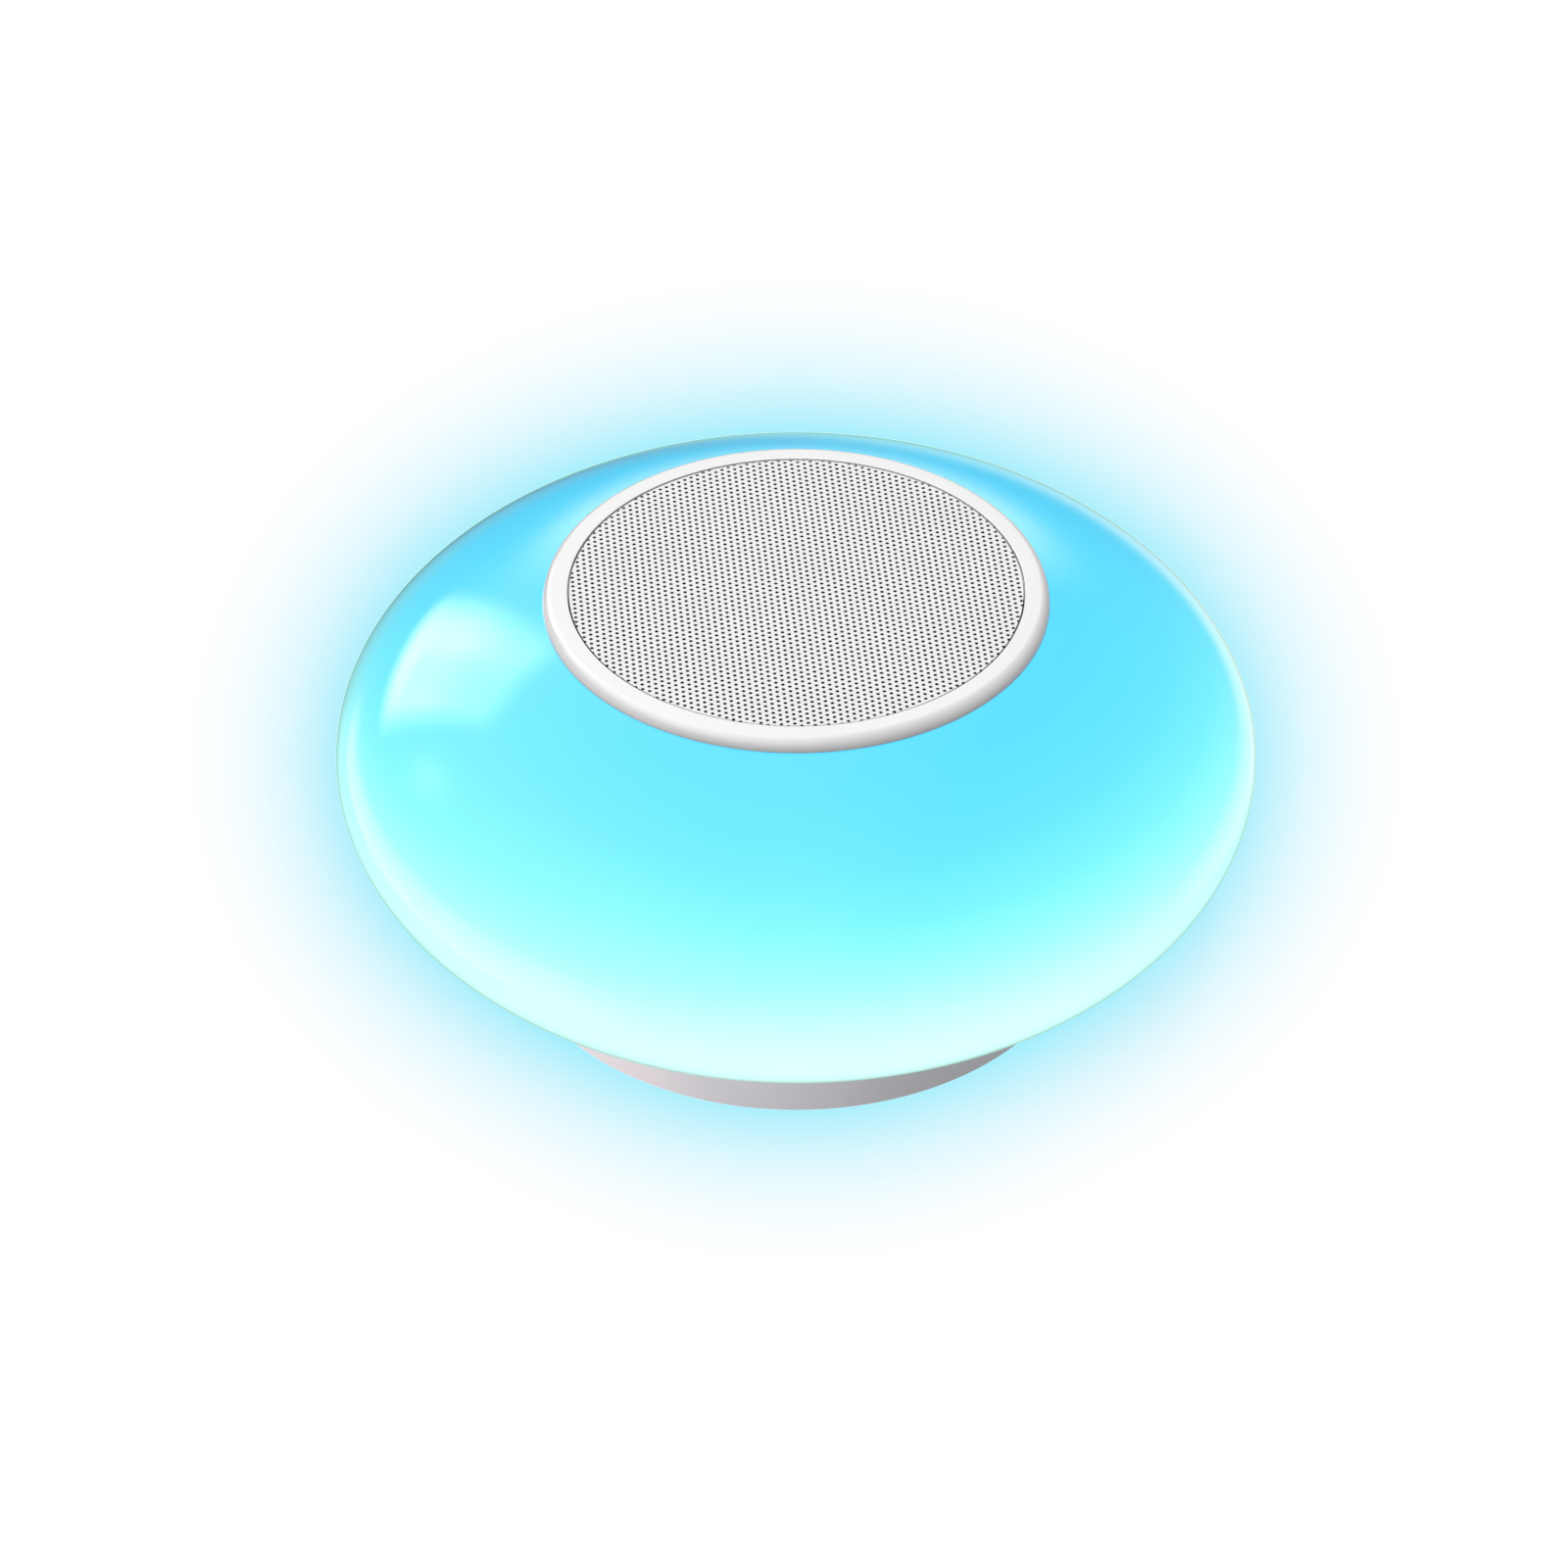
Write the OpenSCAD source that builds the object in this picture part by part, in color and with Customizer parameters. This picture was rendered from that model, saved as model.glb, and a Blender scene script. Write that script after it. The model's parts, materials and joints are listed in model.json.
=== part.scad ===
// Light-up wireless audio receiver: a glowing flattened globe on a round base,
// with an upward-firing loudspeaker behind a perforated grille.
// Millimetres, +Z up. The origin is the centre of the rubber foot's resting
// face, and the control panel is on the +Y side (the back).

/* [Shade] */
// Widest diameter of the translucent shade
shade_d = 186; // [178:2:196]
// Full height of the flattened globe that the shade is cut from
shade_h = 86; // [84:1:90]
// Wall thickness of the shade
shade_wall = 2.0; // [1.6:0.2:2.4]
// Diameter of the opening at the top, under the bezel
top_opening_d = 93; // [92.6:0.2:93.4]
// Diameter of the opening at the bottom, over the base
bottom_opening_d = 108; // [107.8:0.2:109]
// Height of the globe's centre above the bottom edge of the base wall
shade_centre_h = 47.2; // [46.8:0.1:48]

/* [Bezel and grille] */
// Outside diameter of the bezel ring
bezel_d = 101; // [100:0.5:103]
// Height of the bezel's flat top above the globe's centre
bezel_top_h = 39.1; // [39:0.1:40]
// Diameter of the perforated grille
grille_d = 90.3; // [90:0.1:90.4]
// Thickness of the grille sheet
grille_t = 0.6; // [0.5:0.1:0.9]
// Centre-to-centre distance of the grille's holes
grille_pitch = 6; // [5:0.5:9]
// Diameter of each grille hole
grille_hole_d = 2.4; // [1:0.1:3]
// Width of the unpunched margin round the grille
grille_margin = 0.6; // [0.4:0.1:3]
// Angle of the hole rows, from the X axis
grille_turn = 34.6; // [0:0.1:60]

/* [Base] */
// Outside diameter of the base wall
base_d = 117.6; // [117:0.2:119]
// Thickness of the base wall
base_wall = 2.4; // [2:0.1:2.6]
// Outside diameter of the rubber foot ring
foot_d = 104; // [100:1:106]
// Width of the rubber foot ring
foot_w = 6; // [4:0.5:8]
// How far the foot stands below the base wall
foot_proud = 0.6; // [0.4:0.1:1]

/* [Controls] */
// Diameter of a button cap
button_d = 5.6; // [5:0.1:5.8]
// How far a cap stands out of the wall
button_proud = 0.7; // [0.6:0.1:1]
// Sideways position of the inner pair of buttons
button_x1 = 15; // [14:0.5:15.5]
// Sideways position of the outer pair of buttons
button_x2 = 26; // [25.5:0.5:27]

/* [Lamp] */
// Number of LEDs on the ring board
led_count = 12; // [8:4:16]

/* [Loudspeaker] */
// Outside diameter of the driver's frame
driver_d = 77; // [75:0.5:77.4]
// Thickness of the ferrite magnet
magnet_t = 8; // [6:0.5:8]
// Outside diameter of the ferrite magnet
magnet_d = 44; // [40:1:46]

/* [Battery] */
// Diameter of the cylindrical cell
cell_d = 18.4; // [18:0.1:18.4]
// Length of the cell
cell_l = 65; // [64:0.5:65]

/* [Hidden] */
$fn = 72;

glue = 0.03;                            // gap that stands for a glue line or a light contact
seat_gap = 0.05;                        // gap between parts that rest on each other

// Thicknesses
board_t = 1.6;                          // main board
deck_t = 2;                             // floor of the lamp room
tub_floor_t = 2;
baffle_t = 2.2;
gasket_gap = 0.5;                       // room for the gasket under the driver's rim
cloth_t = 0.3;
seal_t = 0.45;                          // far face of a seal, measured from the shade

// Levels, all from the resting plane
z_base = foot_proud;                    // bottom edge of the base wall
z_mid = z_base + shade_centre_h;        // centre of the globe
z_top = z_mid + bezel_top_h;            // flat top of the bezel
z_board = 4.2;                          // underside of the main board
z_board_top = z_board + board_t;
z_parts = z_board_top + glue;           // underside of the parts on the board
z_plug = z_parts + 1.5;                 // lead ends in the board connectors
z_socket = z_parts + 1.6;               // axis of the charging socket
z_key = z_board_top + 1.8;              // button axes
z_deck = 11.4;                          // underside of the lamp room's floor
z_deck_top = z_deck + deck_t;
z_tub = 38;                             // underside of the speaker tub's floor
z_baffle = z_top - 11.1;                // underside of the speaker baffle
z_seat = z_baffle + baffle_t;           // plane that the driver hangs from
z_flange = z_seat + gasket_gap;         // underside of the driver's rim
z_grille_shelf = z_top - 0.85;          // bezel shelf that carries the grille
z_grille = z_grille_shelf + glue;       // underside of the grille

// Radii
shade_r = shade_d / 2;
shade_half_h = shade_h / 2;
top_opening_r = top_opening_d / 2;
bottom_opening_r = bottom_opening_d / 2;
bezel_r = bezel_d / 2;
bezel_bore_r = 39.6;
grille_r = grille_d / 2;
cloth_pocket_r = 43.4;
base_r = base_d / 2;
base_in_r = base_r - base_wall;
foot_r = foot_d / 2;
tub_r = 45.2;                           // outside of the speaker tub and its baffle
driver_r = driver_d / 2;
clear_r = 1.4;                          // clearance hole for a large screw
pilot_r = 1.25;                         // pilot hole for a large screw

// Places round the axis and on the board
led_circle_r = 46.5;
bezel_screw_circle_r = 42;
driver_screw_circle_r = 36;
corner_posts = [for (a = [45:90:315]) [40 * cos(a), 40 * sin(a), 0]];
pillars = [for (x = [-17, 17], y = [-17, 17]) [x, y, 0]];
board_posts = [for (x = [-40, 40], y = [-10, 10]) [x, y, 0]];
speaker_way = [0, -31, 0];              // axes of the cable ways
led_way = [0, -41.5, 0];
battery_way = [36.5, 0, 0];

// Power, light, volume down and volume up
button_x = [-button_x2, -button_x1, button_x1, button_x2];
button_flange_r = 3.5;
plunger_r = 1.5;
plunger_reach = 1.2;                    // plunger length in front of and inside its switch
lamp_x = 9;                             // status lamp

WHITE = [0.95, 0.95, 0.94];
GLOW = [0.62, 0.94, 0.98];
DARK = [0.09, 0.09, 0.10];
STEEL = [0.72, 0.73, 0.75];
BOARD = [0.05, 0.32, 0.20];
SEAL = [0.9, 0.9, 0.9];
CONE = [0.13, 0.13, 0.14];

// ---------- functions ----------
TOP = 1;
BOTTOM = -1;
// Level of the shade's outside at radius r, on its TOP or BOTTOM half
function shade_z(r, half) = z_mid + half * shade_half_h * sqrt(max(0, 1 - pow(r / shade_r, 2)));
// count + 1 values from first to last
function steps(first, last, count) = [for (i = [0:count]) first + (last - first) * i / count];
function reversed(list) = [for (i = [len(list) - 1:-1:0]) list[i]];
// Inside of the base wall at sideways position x
function wall_y(x) = sqrt(base_in_r * base_in_r - x * x);
// Face of a key switch towards the wall, and face of a button's flange towards it
function switch_y(x) = wall_y(x) - 9.5;
function flange_y(x) = wall_y(abs(x) + button_flange_r + 0.1) - 0.15;

// ---------- helpers ----------
module ring(outer_r, inner_r, h, z = 0) {
    translate([0, 0, z]) difference() {
        cylinder(r = outer_r, h = h);
        translate([0, 0, -1]) cylinder(r = inner_r, h = h + 2);
    }
}

// Solid of revolution from [radius, z] points
module lathe(points) { rotate_extrude() polygon(points); }

module around(r, count, start = 0) {
    for (i = [0:count - 1]) rotate([0, 0, start + 360 * i / count]) translate([r, 0, 0]) children();
}

module at(places) { for (place = places) translate(place) children(); }

// Cylinder along X, centred
module bar_x(r, l) { rotate([0, 90, 0]) cylinder(r = r, h = l, center = true); }

// Cylinder along +Y from y0 to y1
module bar_y(r, y0, y1, x = 0, z = 0) {
    translate([x, y0, z]) rotate([-90, 0, 0]) cylinder(r = r, h = y1 - y0);
}

// Cylinder along +Z, standing at z
module bar_z(r, h, z) { translate([0, 0, z]) cylinder(r = r, h = h); }

// Stadium-section bar along +Y from y0, lying flat, as wide as the charging socket
module stadium_y(r, y0, l) {
    half_w = 2.9;                       // from the middle to each round end's axis
    translate([-half_w, y0, -r]) cube([2 * half_w, l, 2 * r]);
    for (x = [-half_w, half_w]) bar_y(r, y0, y0 + l, x);
}

// Pan-head screw with a cross slot, head down at z = 0 and shank up; flip turns it over
module screw(head_r, head_h, shank_r, shank_l, flip = false) {
    slot_w = 0.5;
    mirror([0, 0, flip ? 1 : 0]) difference() {
        union() {
            cylinder(r = head_r, h = head_h);
            bar_z(shank_r, shank_l, head_h - 0.01);
        }
        for (a = [0, 90]) rotate([0, 0, a])
            translate([-head_r * 0.55, -slot_w / 2, -1])
            cube([head_r * 1.1, slot_w, 1 + head_h * 0.55]);
    }
}

// Round wire through a list of points, with a slightly larger bead at each bend
module wire(points, r) {
    for (i = [0:len(points) - 2]) {
        span = points[i + 1] - points[i];
        l = norm(span);
        translate(points[i])
            rotate([0, acos(span[2] / l), atan2(span[1], span[0])])
            cylinder(r = r, h = l, $fn = 24);
    }
    if (len(points) > 2) for (i = [1:len(points) - 2])
        translate(points[i]) sphere(r = r * 1.12, $fn = 24);
}

// ---------- outside ----------
module shade() {
    inner_r = shade_r - shade_wall;
    inner_half_h = shade_half_h - shade_wall;
    outer = [for (t = steps(-acos(bottom_opening_r / shade_r), acos(top_opening_r / shade_r), 26))
        [shade_r * cos(t), z_mid + shade_half_h * sin(t)]];
    inner = [for (t = steps(acos(top_opening_r / inner_r), -acos(bottom_opening_r / inner_r), 20))
        [inner_r * cos(t), z_mid + inner_half_h * sin(t)]];
    color(GLOW, 0.9) lathe(concat(outer, inner));
}

// Strip that follows the shade between two offsets from its outside
module seal(inner_r, outer_r, half, lower, upper) {
    radii = steps(inner_r, outer_r, 6);
    color(SEAL) lathe(concat(
        [for (r = radii) [r, shade_z(r, half) + lower]],
        [for (r = reversed(radii)) [r, shade_z(r, half) + upper]]));
}

module upper_seal() { seal(46.9, 49.3, TOP, lower = glue, upper = seal_t); }

module lower_seal() { seal(54.6, 57.4, BOTTOM, lower = -seal_t, upper = -glue); }

module bezel() {
    shoulder_w = 1.7;                   // rounded outer edge
    shoulder_h = 1.9;
    skirt_r = 46;                       // part that goes down inside the shade
    well_r = 44.6;                      // inside, above the screw flange
    z_flange_top = z_seat + 2;
    z_pocket = z_grille_shelf - 0.8;    // underside of the grille shelf
    color(WHITE) difference() {
        lathe(concat(
            [[bezel_bore_r, z_seat + seat_gap], [skirt_r, z_seat + seat_gap],
             [skirt_r, shade_z(46.6, TOP) + 0.5]],
            // room for the upper seal, then the lip that lies close to the shade
            [for (r = steps(46.6, 49.5, 5)) [r, shade_z(r, TOP) + 0.5]],
            [for (r = steps(49.6, bezel_r, 3)) [r, shade_z(r, TOP) + 0.1]],
            [for (t = steps(0, 90, 6))
                [bezel_r - shoulder_w + shoulder_w * cos(t),
                 z_top - shoulder_h + shoulder_h * sin(t)]],
            // down the inside: chamfer, grille shelf, well, screw flange
            [[grille_r + 0.35, z_top], [grille_r + 0.15, z_top - 0.2],
             [grille_r + 0.15, z_grille_shelf], [cloth_pocket_r, z_grille_shelf],
             [cloth_pocket_r, z_pocket], [well_r, z_pocket],
             [well_r, z_flange_top], [bezel_bore_r, z_flange_top]]));
        around(bezel_screw_circle_r, 4) bar_z(clear_r, 4, z_seat - 1);
    }
}

// Staggered rows of round holes, each row shifted by half a pitch
module punched_sheet(r, pitch, hole_r, margin) {
    row_step = pitch * sqrt(3) / 2;
    rows = ceil(r / row_step);
    difference() {
        circle(r = r);
        for (j = [-rows:rows], i = [-rows - 1:rows + 1]) {
            x = (i + (j % 2 == 0 ? 0 : 0.5)) * pitch;
            y = j * row_step;
            if (norm([x, y]) < r - hole_r - margin)
                translate([x, y]) circle(r = hole_r, $fn = 24);
        }
    }
}

module grille() {
    color(WHITE) translate([0, 0, z_grille]) rotate([0, 0, grille_turn])
        linear_extrude(grille_t)
        punched_sheet(grille_r, grille_pitch, grille_hole_d / 2, grille_margin);
}

module grille_cloth() {
    color(DARK) bar_z(cloth_pocket_r - 0.2, cloth_t, z_grille - glue - cloth_t);
}

// Cutters for the buttons, the status lens and the charging slot
module rear_openings() {
    y_out = base_r + 5;
    for (x = button_x) bar_y(button_d / 2 + 0.08, 40, y_out, x, z_key);
    bar_y(1.05, 50, y_out, lamp_x, z_key);
    translate([0, 0, z_socket]) stadium_y(1.75, 50, 15);
}

module base_housing() {
    chamfer = 0.5;                      // on the bottom edge
    rib_out_r = 53.7;                   // ring standing on the deck, inside the shade
    rib_in_r = 51.7;
    z_rib = 17.5;
    color(WHITE) difference() {
        union() {
            lathe(concat(
                [[base_in_r, z_base], [base_r - chamfer, z_base], [base_r, z_base + chamfer]],
                // lip close to the shade, then room for the lower seal
                [for (r = steps(base_r, 57.7, 3)) [r, shade_z(r, BOTTOM) - 0.1]],
                [for (r = steps(57.6, 54.4, 5)) [r, shade_z(r, BOTTOM) - 0.5]],
                [[rib_out_r, shade_z(54.4, BOTTOM) - 0.5], [rib_out_r, z_rib],
                 [rib_in_r, z_rib], [rib_in_r, z_deck_top], [0, z_deck_top],
                 [0, z_deck], [base_in_r, z_deck]]));
            at(corner_posts) bar_z(3.2, z_deck - 2.8, 2.85);
            at(board_posts) bar_z(2.6, z_deck - z_board_top, z_board_top + seat_gap);
            around(led_circle_r, 4) bar_z(2.2, 1.8, z_deck_top - 0.1);
        }
        rear_openings();
        // screw holes
        at(corner_posts) bar_z(pilot_r, 7.6, 2);
        at(board_posts) bar_z(1.0, 5, 5);
        at(pillars) bar_z(clear_r, 5, 9);
        around(led_circle_r, 4) bar_z(0.9, 5, z_deck + 0.6);
        // cable ways
        translate(speaker_way) bar_z(3.4, 5, 9);
        translate(led_way) bar_z(3.0, 5, 9);
        translate(battery_way) bar_z(2.2, 5, 9);
    }
}

foot_groove = 1;                        // depth of the foot's groove in the cover

module bottom_cover() {
    color(WHITE) difference() {
        bar_z(base_in_r - 0.2, 2.2, z_base);
        ring(foot_r + 0.1, foot_r - foot_w - 0.1, foot_groove + 1, z_base - 1);
        at(corner_posts) {
            cylinder(r = clear_r, h = 5);
            bar_z(2.5, 2.8, -1);        // recess for the screw head
        }
    }
}

module foot_ring() {
    chamfer = 0.3;
    inner_r = foot_r - foot_w;
    h = z_base + foot_groove - glue;
    color([0.78, 0.78, 0.78]) lathe([
        [inner_r + chamfer, 0], [foot_r - chamfer, 0], [foot_r, chamfer],
        [foot_r, h], [inner_r, h], [inner_r, chamfer]]);
}

module cover_screws() {
    color(STEEL) at(corner_posts) translate([0, 0, 0.75])
        screw(head_r = 2.2, head_h = 1.0, shank_r = 1.2, shank_l = 7);
}

// ---------- electronics ----------
// Round board with a straight back edge and a tongue under the charging socket
module main_board() {
    back_y = 45.9;
    tongue_y = 54.8;
    tongue_w = 22;
    color(BOARD) translate([0, 0, z_board]) difference() {
        intersection() {
            cylinder(r = 55.9, h = board_t);
            union() {
                translate([-60, -60, 0]) cube([120, back_y + 60, board_t]);
                translate([-tongue_w / 2, 40, 0]) cube([tongue_w, tongue_y - 40, board_t]);
            }
        }
        at(corner_posts) bar_z(3.6, 4, -1);
        at(board_posts) bar_z(1.1, 4, -1);
    }
}

module wireless_module() {
    carrier_t = 0.8;
    color([0.05, 0.12, 0.30]) translate([-21, -42, z_parts]) cube([13, 16, carrier_t]);
    color(STEEL) translate([-20, -41, z_parts + carrier_t + glue]) cube([11, 10, 1.8]);
}

// Near left corner [x, y] and size
chips = [
    [[-12, -6],    [7, 7, 0.9]],        // controller
    [[6, -20],     [9.9, 6, 1.6]],      // power amplifier
    [[8, 12],      [5, 6.2, 1.5]],      // charger
    [[-6, 26],     [4.9, 3.9, 1.5]],    // light driver
    [[19.5, -20],  [5, 5, 3]],          // coils
    [[25.5, -20],  [5, 5, 3]]
];
capacitors = [[-6, 14], [0, 14], [18, 4], [-24, 8], [-24, 16]];

module board_chips() {
    color(DARK) for (chip = chips)
        translate([chip[0][0], chip[0][1], z_parts]) cube(chip[1]);
    color(STEEL) for (place = capacitors)
        translate([place[0], place[1], z_parts]) cylinder(r = 2, h = 3.4);
}

// Corner, size in plan, and wall left round the recess, each as [x, y]
connectors = [
    [[-4, -34],   [8, 6],  [1, 1.5]],   // loudspeaker
    [[-5, -44.5], [10, 6], [1, 1.5]],   // lamp
    [[33.5, -4],  [6, 8],  [1.5, 1]]    // battery
];

module board_connectors() {
    // Block on the board over a plan rectangle, raised by rise
    module block(corner, size, rise = 0)
        translate([corner[0], corner[1], z_parts + rise]) cube([size[0], size[1], 3]);
    color([0.93, 0.92, 0.86]) difference() {
        union() for (c = connectors) block(c[0], c[1]);
        for (c = connectors) block(c[0] + c[2], c[1] - 2 * c[2], rise = 1.4);
    }
}

// Flat shell of a charging receptacle with its tongue, mouth towards +Y
module charge_socket() {
    y0 = base_r - 8.6;
    l = 7.6;
    color(STEEL) translate([0, 0, z_socket]) difference() {
        union() stadium_y(1.6, y0, l);
        stadium_y(1.3, y0 + 1, l);
    }
    color(DARK) translate([-3.3, y0 + 0.9, z_socket - 0.35]) cube([6.6, 5.6, 0.7]);
}

module key_switches() {
    body_w = 6.2;
    body_depth = 3.6;
    for (x = button_x) translate([x, switch_y(x), z_parts]) {
        color(DARK) difference() {
            translate([-body_w / 2, -body_depth, 0]) cube([body_w, body_depth, 4]);
            bar_y(plunger_r + 0.06, -2, 1, 0, z_key - z_parts);
        }
        color(STEEL) for (side = [-1, 1])
            translate([side * 3.4 - 0.3, -2.4, 0]) cube([0.6, 1.4, 2.6]);
    }
}

// The moving plunger of one switch
module plunger(x) {
    color([0.85, 0.25, 0.2])
        bar_y(plunger_r, switch_y(x) - plunger_reach, switch_y(x) + plunger_reach, x, z_key);
}

module status_lamp() {
    w = 1.6;
    color([0.9, 0.9, 0.85]) translate([lamp_x - w / 2, 49.2, z_parts]) cube([w, 1.2, 2.4]);
}

module status_lens() {
    color([0.85, 0.95, 1.0], 0.7) intersection() {
        bar_y(1.0, 50.6, base_r + 3, lamp_x, z_key);
        cylinder(r = base_r + 0.15, h = 30);
    }
}

module board_screws() {
    head_h = 1.0;
    color(STEEL) at(board_posts) translate([0, 0, z_board - head_h - seat_gap])
        screw(head_r = 1.9, head_h = head_h, shank_r = 0.95, shank_l = 5);
}

// One push button: cap with a curved face, flange behind the wall, and stem
module button(x) {
    y_tip = switch_y(x) + plunger_reach + glue;
    y_flange = flange_y(x);
    color(WHITE) {
        intersection() {
            bar_y(button_d / 2, y_flange - 0.2, base_r + 5, x, z_key);
            cylinder(r = base_r + button_proud, h = 30);
        }
        bar_y(button_flange_r, y_flange - 1, y_flange, x, z_key);
        bar_y(plunger_r, y_tip, y_flange - 0.9, x, z_key);
    }
}

// ---------- lamp ----------
led_board_t = 1.2;
z_led_board = z_deck_top + 1.75;
z_led_board_top = z_led_board + led_board_t;

module led_board() {
    color([0.9, 0.92, 0.9]) difference() {
        ring(50.8, 42.2, led_board_t, z_led_board);
        around(led_circle_r, 4) cylinder(r = 1.1, h = 40);
    }
}

// Square packages with a flared recess in the top
module led_emitters() {
    side = 5;
    color([0.97, 0.97, 0.9]) around(led_circle_r, led_count, 180 / led_count)
        translate([-side / 2, -side / 2, z_led_board_top + glue]) difference() {
            cube([side, side, 1.6]);
            translate([side / 2, side / 2, 0.9]) cylinder(r1 = 1.7, r2 = 2.1, h = 1, $fn = 32);
        }
}

module led_board_screws() {
    head_h = 1.0;
    color(STEEL) around(led_circle_r, 4) translate([0, 0, z_led_board_top + seat_gap + head_h])
        screw(head_r = 1.7, head_h = head_h, shank_r = 0.85, shank_l = 4.2, flip = true);
}

// White cone that hides the cell and throws the light outwards
module light_reflector() {
    z_foot = z_deck_top + seat_gap;
    z_foot_top = z_foot + 0.8;
    z_rim = z_tub - 0.1;
    color(WHITE) difference() {
        lathe([[41.6, z_foot], [41.6, z_foot_top], [41.0, z_foot_top], [37.6, z_rim],
               [36.4, z_rim], [39.8, z_foot_top], [38.4, z_foot_top], [38.4, z_foot]]);
        translate(led_way) bar_z(3.0, 6, 10);
    }
}

// ---------- loudspeaker box ----------
module speaker_tub() {
    z_rim = z_baffle - seat_gap;
    rim_in_r = 39.5;
    color(WHITE) difference() {
        union() {
            lathe([[0, z_tub], [37, z_tub], [43.5, z_baffle - 8], [tub_r, z_baffle - 6],
                   [tub_r, z_rim], [rim_in_r, z_rim], [rim_in_r, z_baffle - 6],
                   [41.3, z_baffle - 8.5], [35, z_tub + tub_floor_t], [0, z_tub + tub_floor_t]]);
            at(pillars) bar_z(3.6, z_tub - z_deck_top + 1, z_deck_top + seat_gap);
        }
        at(pillars) bar_z(pilot_r, 14, z_deck);
        around(bezel_screw_circle_r, 4) bar_z(pilot_r, 6, z_baffle - 5);
        translate(speaker_way) bar_z(3.1, 5, z_tub - 1);
    }
}

module tub_screws() {
    head_h = 1.2;
    color(STEEL) at(pillars) translate([0, 0, z_deck - head_h - seat_gap])
        screw(head_r = 2.2, head_h = head_h, shank_r = 1.2, shank_l = 11);
}

// Plug through the tub's floor with a flange on each side and two wire holes
module cable_grommet() {
    flange_t = 0.85;
    color(DARK) translate(speaker_way) difference() {
        union() {
            bar_z(4.1, flange_t, z_tub - 0.9);
            bar_z(3.05, 2.2, z_tub - 0.1);
            bar_z(3.7, flange_t, z_tub + tub_floor_t + seat_gap);
        }
        for (x = [-1.2, 1.2]) translate([x, 0, z_tub - 2]) cylinder(r = 0.85, h = 7);
    }
}

module damping_ring() {
    color([0.86, 0.86, 0.84]) ring(27, 23.5, 9, z_tub + tub_floor_t + seat_gap);
}

module speaker_baffle() {
    color(WHITE) difference() {
        ring(tub_r, 33.6, baffle_t, z_baffle);
        around(bezel_screw_circle_r, 4) bar_z(clear_r, 5, z_baffle - 1);
        around(driver_screw_circle_r, 4, 45) bar_z(pilot_r, 5, z_baffle - 1);
    }
}

module bezel_screws() {
    head_h = 1.2;
    color(STEEL) around(bezel_screw_circle_r, 4)
        translate([0, 0, z_seat + 2 + seat_gap + head_h])
        screw(head_r = 2.2, head_h = head_h, shank_r = 1.2, shank_l = 9, flip = true);
}

// ---------- driver ----------
z_rim = z_flange + 1.2;                 // top of the driver's rim
z_plate = z_rim - 22.7;                 // top of the driver's top plate
plate_t = 4;
plate_r = 18;                           // top plate and yoke
z_magnet = z_plate - plate_t - magnet_t;
z_shelf = z_plate + 3;                  // glue shelf for the spider
z_neck = z_plate + 8;                   // bottom of the cone
z_edge = z_rim + 0.4;                   // outer edge of the cone
rim_in_r = 33.8;                        // inside of the gasket, outside of the surround
driver_hole_r = 1.5;
lug_y = -30.1;                          // face that carries the terminal strip

neck_r = 8.22;                          // inside of the cone's neck
cone_wall = 0.5;
cone_in_r = 26.4;                       // upper end of the cone's sloping face
z_cone_in = z_edge - 2.3;
z_neck_top = z_neck + cone_wall + 0.3;

module driver_frame() {
    color(DARK) difference() {
        union() {
            // rim, dished wall and floor
            lathe([[31.2, z_rim], [driver_r, z_rim], [driver_r, z_flange],
                   [33, z_flange], [20, z_plate + glue], [9.4, z_plate + glue],
                   [9.4, z_plate + 1], [19.4, z_plate + 1], [31.2, z_flange + 0.2]]);
            ring(21.6, 19.2, 0.8, z_shelf - 0.8);
            translate([-5.5, lug_y, z_flange - 8]) cube([11, 3.5, 6]);     // terminal lug
        }
        around(driver_screw_circle_r, 4, 45) bar_z(driver_hole_r, 4, z_flange - 1);
        // windows between the ribs
        for (a = [0:60:300]) rotate([0, 0, a])
            translate([22, -4.5, z_shelf + 2]) cube([14, 9, 9]);
        // flat seat for the terminal strip
        translate([-5.6, lug_y - 9.9, z_flange - 8.2]) cube([11.2, 9.9, 6.2]);
        // the middle stays open for the cone
        translate([0, 0, z_flange - 8.5]) cylinder(r1 = 23.4, r2 = 28.3, h = 7.6);
    }
}

module driver_gasket() {
    color(DARK) difference() {
        ring(38.3, rim_in_r, gasket_gap - 2 * glue, z_seat + glue);
        around(driver_screw_circle_r, 4, 45) cylinder(r = driver_hole_r, h = 200);
    }
}

module driver_screws() {
    head_h = 1.1;
    color(STEEL) around(driver_screw_circle_r, 4, 45)
        translate([0, 0, z_rim + seat_gap + head_h])
        screw(head_r = 2.0, head_h = head_h, shank_r = 1.15, shank_l = 3.8, flip = true);
}

// Strip on the lug, and two solder tabs
module driver_terminals() {
    strip_y = lug_y - 1.1;
    color([0.75, 0.6, 0.35]) translate([-4.5, strip_y, z_flange - 7.5]) cube([9, 1.1 - glue, 5]);
    color(STEEL) for (x = [-1.8, 0.6])
        translate([x, strip_y - 2.2, z_flange - 6]) cube([1.2, 2.25, 0.4]);
}

module driver_top_plate() {
    color(STEEL) ring(plate_r, 9.0, plate_t, z_plate - plate_t);
}

module driver_magnet() {
    color([0.25, 0.25, 0.26]) ring(magnet_d / 2, 11, magnet_t - 2 * glue, z_magnet + glue);
}

// Back plate and centre pole
module driver_yoke() {
    color(STEEL) {
        bar_z(plate_r, 3, z_magnet - 3);
        bar_z(7.6, magnet_t + plate_t + 0.5, z_magnet - 0.5);
    }
}

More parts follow.
